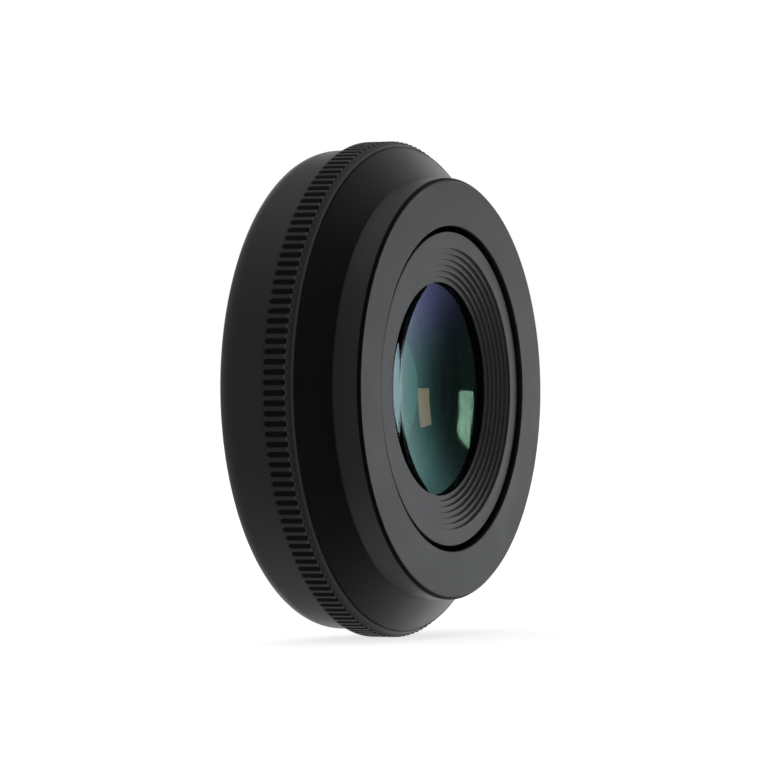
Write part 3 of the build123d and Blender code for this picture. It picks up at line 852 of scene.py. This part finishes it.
class LENS_OT_mount(LensOperator, bpy.types.Operator):
    """Turn the mount ring, wind its thread and sink its screws."""

    bl_idname = "lens.mount"
    bl_label = "Threaded mount"

    def execute(self, context):
        s = sizes()
        root_radius = s.thread_radius - s.thread_depth
        shoulder_y = SEAT_Y - s.spigot_step
        glass_y = REAR_GLASS_FRONT_Y + s.rear_front_height
        piece = lathe(
            "threaded_mount",
            [
                (s.spigot_bore_radius, MOUNT_FRONT_Y),
                (s.spigot_radius, MOUNT_FRONT_Y),
                (s.spigot_radius, SEAT_Y - s.mount_flange_length),
                (MOUNT_RADIUS, SEAT_Y - s.mount_flange_length),
                (MOUNT_RADIUS, SEAT_Y),
                (root_radius, SEAT_Y),
                (root_radius, STUB_END_Y),
                (s.rear_pocket_radius, STUB_END_Y),
                (s.rear_pocket_radius, glass_y),
                (s.rear_clear_radius, glass_y),
                (s.rear_clear_radius, shoulder_y),
                (s.spigot_bore_radius, shoulder_y),
            ],
        )
        soften(piece, s.edge_softening)
        cut(piece, self.thread(root_radius), "UNION")
        for index in range(s.screw_count):
            cut(piece, sink_cutter(screw_angle(index)))
        pick(piece)
        bpy.ops.mesh.customdata_custom_splitnormals_clear()
        smooth(piece, degrees=25)
        material = anodised(
            "mount_anodised", colours().anodised, roughness=0.35, turned_marks=0.5, grain=0.2
        )
        dress(piece, "housing", "mount_ring", material)
        finish_node("rear_retaining_ring", material)
        return {"FINISHED"}

    def thread(self, root_radius):
        """A ridge of thread, wound round the stub and closed at both ends."""
        s = sizes()
        sunk_radius = root_radius - s.thread_depth / 4
        root_half = s.thread_pitch * RIDGE_ROOT_SHARE
        crest_half = s.thread_pitch * RIDGE_CREST_SHARE
        turns = (STUB_END_Y - SEAT_Y - 2 * root_half) / s.thread_pitch - RIDGE_SPARE_TURN
        steps = int(RIDGE_TURN_STEPS * turns)
        start_y = SEAT_Y + root_half * RIDGE_START_SHARE
        profile = [
            (sunk_radius, start_y - root_half),
            (root_radius, start_y - root_half),
            (s.thread_radius, start_y - crest_half),
            (s.thread_radius, start_y + crest_half),
            (root_radius, start_y + root_half),
            (sunk_radius, start_y + root_half),
        ]
        ridge = trace("thread_ridge", [*profile, profile[0]])
        bpy.ops.object.mode_set(mode="OBJECT")
        settle(ridge)
        apply_modifier(
            ridge,
            "SCREW",
            axis="Y",
            angle=FULL_TURN * turns,
            screw_offset=s.thread_pitch * turns,
            steps=steps,
            render_steps=steps,
            iterations=1,
        )
        bpy.ops.object.mode_set(mode="EDIT")
        bpy.ops.mesh.select_all(action="SELECT")
        bpy.ops.mesh.fill_holes(sides=0)
        face_outwards()
        bpy.ops.object.mode_set(mode="OBJECT")
        return ridge


def screw_angle(index):
    """Angle of a mount screw, counter-clockwise as seen from the front."""
    return FULL_TURN / 4 + index * FULL_TURN / sizes().screw_count


def around_axis(piece, angle):
    """Turns a piece about the optical axis and puts the turn into its mesh."""
    piece.rotation_euler.y = -angle
    settle(piece)


def sink_cutter(angle):
    """The countersink and hole of one mount screw, on the +X side before it is turned to its angle."""
    s = sizes()
    head_y = SEAT_Y - s.screw_sink
    deselect_all()
    bpy.ops.mesh.primitive_cylinder_add(
        vertices=48,
        radius=s.screw_head_radius + s.running_gap,
        depth=s.sink_cutter_height,
        location=(s.screw_orbit, head_y + s.sink_cutter_height / 2, 0),
        rotation=(FULL_TURN / 4, 0, 0),
    )
    piece = bpy.context.object
    settle(piece)
    bpy.ops.object.mode_set(mode="EDIT")
    bpy.ops.mesh.select_all(action="DESELECT")
    bpy.ops.object.mode_set(mode="OBJECT")
    for face in piece.data.polygons:
        face.select = face.normal.y < -0.9
    bpy.ops.object.mode_set(mode="EDIT")
    draw_out(0, -s.screw_head_length)
    share = s.screw_radius / s.screw_head_radius
    centre = (s.screw_orbit, head_y - s.screw_head_length, 0)
    bpy.ops.transform.resize(value=(share, 1, share), center_override=centre)
    draw_out(0, -s.screw_length)
    bpy.ops.object.mode_set(mode="OBJECT")
    around_axis(piece, angle)
    return piece


class LENS_OT_mount_screws(LensOperator, bpy.types.Operator):
    """Make the countersunk screws of the mount ring."""

    bl_idname = "lens.mount_screws"
    bl_label = "Mount screws"

    def execute(self, context):
        screws = []
        for index in range(sizes().screw_count):
            screw = self.screw()
            around_axis(screw, screw_angle(index))
            screws.append(screw)
        deselect_all()
        for screw in screws:
            screw.select_set(True)
        bpy.context.view_layer.objects.active = screws[0]
        bpy.ops.object.join()
        piece = bpy.context.object
        piece.name = "flange_screws"
        smooth(piece, degrees=30)
        material = plain_finish(
            "screw_steel",
            (0.1, 0.1, 0.105),
            roughness=0.32,
            metallic=1.0,
            grain_scale=9000.0,
            grain_height=STEEL_RELIEF,
        )
        dress(piece, "housing", "mount_screws", material)
        for node in ("sleeve_screws", "drive_screws"):
            finish_node(node, material)
        return {"FINISHED"}

    def screw(self):
        """A countersunk screw with a crossed recess, along the axis with its head to the rear."""
        s = sizes()
        head_y = SEAT_Y - s.screw_sink
        deselect_all()
        bpy.ops.mesh.primitive_cone_add(
            vertices=48,
            radius1=s.screw_radius,
            radius2=s.screw_head_radius,
            depth=s.screw_head_length,
            location=(s.screw_orbit, head_y - s.screw_head_length / 2, 0),
            rotation=(-FULL_TURN / 4, 0, 0),
        )
        piece = bpy.context.object
        settle(piece)
        for face in piece.data.polygons:
            face.select = face.normal.y < -0.9
        bpy.ops.object.mode_set(mode="EDIT")
        shank = s.screw_length - s.screw_head_length
        draw_out(0, -shank)
        face_outwards()
        bpy.ops.object.mode_set(mode="OBJECT")
        slot_length = s.screw_head_radius * 1.1
        slot_width = s.screw_head_radius * 0.22
        for turn in (0, FULL_TURN / 4):
            deselect_all()
            bpy.ops.mesh.primitive_cube_add(
                size=1, location=(s.screw_orbit, head_y, 0), rotation=(0, turn, 0)
            )
            slot = bpy.context.object
            slot.scale = (slot_length, 2 * s.recess_depth, slot_width)
            settle(slot)
            cut(piece, slot)
        soften(piece, s.screw_softening, angle=math.radians(40), segments=1)
        return piece


class LENS_OT_rear_glass(LensOperator, bpy.types.Operator):
    """Grind the rear glass."""

    bl_idname = "lens.rear_glass"
    bl_label = "Rear glass"

    def execute(self, context):
        s = sizes()
        front = dome(s.rear_clear_radius, REAR_GLASS_FRONT_Y + s.rear_front_height, -s.rear_front_height)
        rear = dome(s.rear_clear_radius, REAR_GLASS_REAR_Y - s.rear_rear_height, s.rear_rear_height)
        piece = lens("rear_glass", REAR_GLASS_RADIUS, front, rear)
        coated = coated_glass(
            "rear_coated_glass",
            body=(0.95, 0.98, 0.97),
            index=1.3,
            share=0.04,
            tint=(0.5, 0.9, 1.0),
            upper_tint=(0.5, 0.6, 1.0),
            clear_radius=s.rear_clear_radius,
        )
        dress(piece, "housing", "rear_element", coated)
        return {"FINISHED"}


class LENS_OT_seat_pad(LensOperator, bpy.types.Operator):
    """Mould the ribbed seat pad."""

    bl_idname = "lens.seat_pad"
    bl_label = "Seat pad"

    def execute(self, context):
        s = sizes()
        width = (PAD_RADIUS - s.pad_inner_radius) / (2 * s.pad_rib_count + 1)
        slope = width * 0.15
        valley_y = PAD_REAR_Y - s.pad_rib_depth
        ribs = []
        for index in range(s.pad_rib_count):
            inside = s.pad_inner_radius + (2 * index + 1) * width
            outside = inside + width
            ribs += [
                (inside - slope, valley_y),
                (inside + slope, PAD_REAR_Y),
                (outside - slope, PAD_REAR_Y),
                (outside + slope, valley_y),
            ]
        piece = lathe(
            "ribbed_pad",
            [
                (PAD_RADIUS, PAD_FRONT_Y),
                (s.pad_inner_radius, PAD_FRONT_Y),
                (s.pad_inner_radius, valley_y),
                *ribs,
                (PAD_RADIUS, valley_y),
            ],
        )
        soften(piece, s.edge_softening)
        material = plain_finish(
            "pad_rubber",
            (0.012, 0.012, 0.012),
            roughness=0.7,
            metallic=0.0,
            grain_scale=6000.0,
            grain_height=RUBBER_RELIEF,
        )
        dress(piece, "housing", "seat_pad", material)
        return {"FINISHED"}


class LENS_OT_inner_parts(LensOperator, bpy.types.Operator):
    """Finish the parts that only show when the lens is open."""

    bl_idname = "lens.inner_parts"
    bl_label = "Inner parts"

    def execute(self, context):
        black = colours().inner_black
        washers = ["front_slide_washer", "rear_slide_washer"]
        # Nodes, colour, roughness, metallic and scale of the grain
        finishes = {
            "cell_anodised": (["lens_cell", "cell_spacer", "cell_retaining_ring"], black, 0.6, 0.0, 9000.0),
            "sleeve_anodised": (["guide_sleeve", "cam_sleeve"], (0.02, 0.02, 0.022), 0.4, 0.0, 5000.0),
            "stop_black": (["field_stop"], (0.008, 0.008, 0.008), 0.8, 0.0, 9000.0),
            "slide_nylon": (washers, (0.05, 0.05, 0.05), 0.5, 0.0, 7000.0),
            "roller_brass": (["guide_rollers"], (0.55, 0.38, 0.14), 0.3, 1.0, 9000.0),
            "pin_steel": (["guide_pins", "stop_pin"], (0.5, 0.5, 0.5), 0.25, 1.0, 9000.0),
        }
        for name, (nodes, rgb, roughness, metallic, scale) in finishes.items():
            material = plain_finish(name, rgb, roughness, metallic, scale, INNER_RELIEF)
            for node in nodes:
                finish_node(node, material)
        return {"FINISHED"}


# Camera, in the photograph's frame of 771 x 771 pixels
PICTURE_WIDTH = 771
FOCAL_PIXELS = 5864
SENSOR_WIDTH = 36.0
CAMERA_AZIMUTH = math.radians(-63.77)
CAMERA_ROLL = math.radians(0.48)
FACE_CENTRE_IN_VIEW = (5.224 * MM, -0.247 * MM, -450.0 * MM)
CLIP_START = 10 * MM
CLIP_END = 20000 * MM
FLOOR_RADIUS = 3000 * MM


class LENS_OT_stage(LensOperator, bpy.types.Operator):
    """Set the floor, the studio light and the camera."""

    bl_idname = "lens.stage"
    bl_label = "Stage"

    def execute(self, context):
        self.floor()
        self.world()
        self.lamps()
        self.camera()
        context.scene.view_settings.view_transform = "Standard"
        return {"FINISHED"}

    def floor(self):
        """A pale floor right under the lens. Mirrored rays pass through it."""
        deselect_all()
        bpy.ops.mesh.primitive_circle_add(
            vertices=96, radius=FLOOR_RADIUS, fill_type="NGON", location=(0, 0, cad_corners[0].z)
        )
        floor = bpy.context.object
        floor.name = "floor"
        material = bpy.data.materials.new("floor")
        shading = Shading(material)
        seen = shading.light_path("Is Camera Ray")
        mirrored = shading.light_path("Is Glossy Ray")
        paint = shading.node("ShaderNodeBsdfDiffuse", None, {"Color": opaque(colours().floor)})
        glow = shading.node("ShaderNodeEmission", None, {"Strength": seen * 0.75})
        lit = shading.node("ShaderNodeAddShader", None, {0: paint, 1: glow})
        open_below = shading.node("ShaderNodeBsdfTransparent")
        shading.show(shading.blend(mirrored, lit, open_below))
        floor.data.materials.append(material)

    def world(self):
        """A white sheet behind the lens, dimmer light round it, above and below, dark straight in front.

        The camera itself sees plain white.
        """
        world = bpy.data.worlds.new("studio")
        bpy.context.scene.world = world
        shading = Shading(world)
        x, y, z = shading.parts(shading.node("ShaderNodeTexCoord", output=0))
        middle = math.radians(15)
        toward = x * math.cos(middle) + y * math.sin(middle)
        sideways = y * math.cos(middle) - x * math.sin(middle)
        rise = ((sideways + 1) / 0.7).at_least(0).at_most(1) ** 2
        level = (1 - shading.ramp(z, 0.25, 0.6)) * (1 - shading.ramp(z * -1, 0.3, 0.7))
        fall = (1 - shading.ramp(sideways, 0.4, 0.62)) * level
        sheet = rise * fall * shading.ramp(toward, 0.0, 0.3)
        beside = shading.ramp(y, -0.8, -0.3) * 0.36
        above = shading.ramp(abs(z), 0.75, 0.95) * shading.ramp(y, -0.3, 0.1) * 0.4
        studio = sheet + beside + above + 0.03
        seen = shading.light_path("Is Camera Ray")
        strength = seen + (1 - seen) * studio
        light = shading.node("ShaderNodeBackground", None, {"Color": (1, 1, 1, 1), "Strength": strength})
        shading.show(light, "ShaderNodeOutputWorld")

    def lamps(self):
        """A key lamp, and three lamps for the front glass alone.

        The glass mirrors the brighter lamp behind the key lamp, and its rim mirrors the tall one. The warm
        one shows from within.
        """
        softbox = {"azimuth": -14.5, "elevation": -3, "tint": (0.95, 0.975, 1.0)}
        key = self.lamp("key_lamp", distance=0.8, width=0.155, height=0.075, radiance=27, **softbox)
        mirrored = self.lamp(
            "mirrored_lamp", distance=0.81, width=0.157, height=0.076, radiance=34, **softbox
        )
        rim = self.lamp(
            "rim_lamp",
            azimuth=-55.6,
            elevation=0,
            tint=(0.8, 0.58, 1.0),
            distance=0.8,
            width=0.128,
            height=0.5,
            radiance=16,
        )
        warm = self.lamp(
            "warm_lamp",
            azimuth=-33.5,
            elevation=5.0,
            tint=(1.0, 0.34, 0.2),
            distance=0.8,
            width=0.15,
            height=0.145,
            radiance=1.9,
        )
        for lamp in (key, mirrored, rim):
            lamp.visible_transmission = False
        warm.visible_glossy = False
        front_glass = bpy.data.collections.new("front_glass")
        front_glass.objects.link(bpy.data.objects["front_glass"])
        for lamp in (mirrored, rim, warm):
            lamp.light_linking.receiver_collection = front_glass

    def lamp(self, name, azimuth, elevation, tint, distance, width, height, radiance):
        """A rectangular lamp that faces the lens. Azimuth runs from +X towards +Y, in degrees."""
        a = math.radians(azimuth)
        e = math.radians(elevation)
        away = Vector((math.cos(a) * math.cos(e), math.sin(a) * math.cos(e), math.sin(e)))
        data = bpy.data.lights.new(name, "AREA")
        data.shape = "RECTANGLE"
        data.size = width
        data.size_y = height
        data.energy = radiance * math.pi * width * height
        data.color = tint
        lamp = bpy.data.objects.new(name, data)
        bpy.context.scene.collection.objects.link(lamp)
        lamp.location = away * distance
        lamp.rotation_mode = "QUATERNION"
        lamp.rotation_quaternion = away.to_track_quat("Z", "Y")
        return lamp

    def camera(self):
        """The photograph's camera: level but for a slight roll, in front of the lens on its -X side."""
        data = bpy.data.cameras.new("camera")
        data.lens = FOCAL_PIXELS / PICTURE_WIDTH * SENSOR_WIDTH
        data.sensor_width = SENSOR_WIDTH
        data.clip_start = CLIP_START
        data.clip_end = CLIP_END
        camera = bpy.data.objects.new("camera", data)
        bpy.context.scene.collection.objects.link(camera)
        back = Vector((math.sin(CAMERA_AZIMUTH), -math.cos(CAMERA_AZIMUTH), 0))
        level_right = Vector((math.cos(CAMERA_AZIMUTH), math.sin(CAMERA_AZIMUTH), 0))
        up = Vector((0, 0, 1))
        right = level_right * math.cos(CAMERA_ROLL) - up * math.sin(CAMERA_ROLL)
        top = level_right * math.sin(CAMERA_ROLL) + up * math.cos(CAMERA_ROLL)
        turn = Matrix((right, top, back)).transposed()
        face_centre = Vector((0, FACE_Y, 0))
        place = face_centre - turn @ Vector(FACE_CENTRE_IN_VIEW)
        camera.matrix_world = Matrix.Translation(place) @ turn.to_4x4()
        bpy.context.scene.camera = camera


OPERATORS = [
    LENS_OT_front_barrel,
    LENS_OT_baffle_ring,
    LENS_OT_front_glasses,
    LENS_OT_knurled_ring,
    LENS_OT_rear_housing,
    LENS_OT_mount,
    LENS_OT_mount_screws,
    LENS_OT_rear_glass,
    LENS_OT_seat_pad,
    LENS_OT_inner_parts,
    LENS_OT_stage,
]


class LENS_PT_panel(bpy.types.Panel):
    """Lists the lens's sizes, colours and pieces."""

    bl_idname = "LENS_PT_panel"
    bl_label = "Macro lens"
    bl_space_type = "VIEW_3D"
    bl_region_type = "UI"
    bl_category = "Lens"

    def draw(self, context):
        for operator in OPERATORS:
            self.layout.operator(operator.bl_idname)
        for group in (context.scene.lens_sizes, context.scene.lens_colours):
            box = self.layout.box()
            for name in group.__annotations__:
                box.prop(group, name)


CLASSES = [LensSizes, LensColours, *OPERATORS, LENS_PT_panel]


def register():
    """Adds the classes and the scene's properties."""
    for item in CLASSES:
        bpy.utils.register_class(item)
    bpy.types.Scene.lens_sizes = PointerProperty(type=LensSizes)
    bpy.types.Scene.lens_colours = PointerProperty(type=LensColours)


def unregister():
    """Removes the scene's properties and the classes."""
    del bpy.types.Scene.lens_colours
    del bpy.types.Scene.lens_sizes
    for item in reversed(CLASSES):
        bpy.utils.unregister_class(item)


def main():
    """Makes every piece and the stage."""
    register()
    for operator in OPERATORS:
        group, name = operator.bl_idname.split(".")
        getattr(getattr(bpy.ops, group), name)()
    deselect_all()


if __name__ == "__main__":
    main()
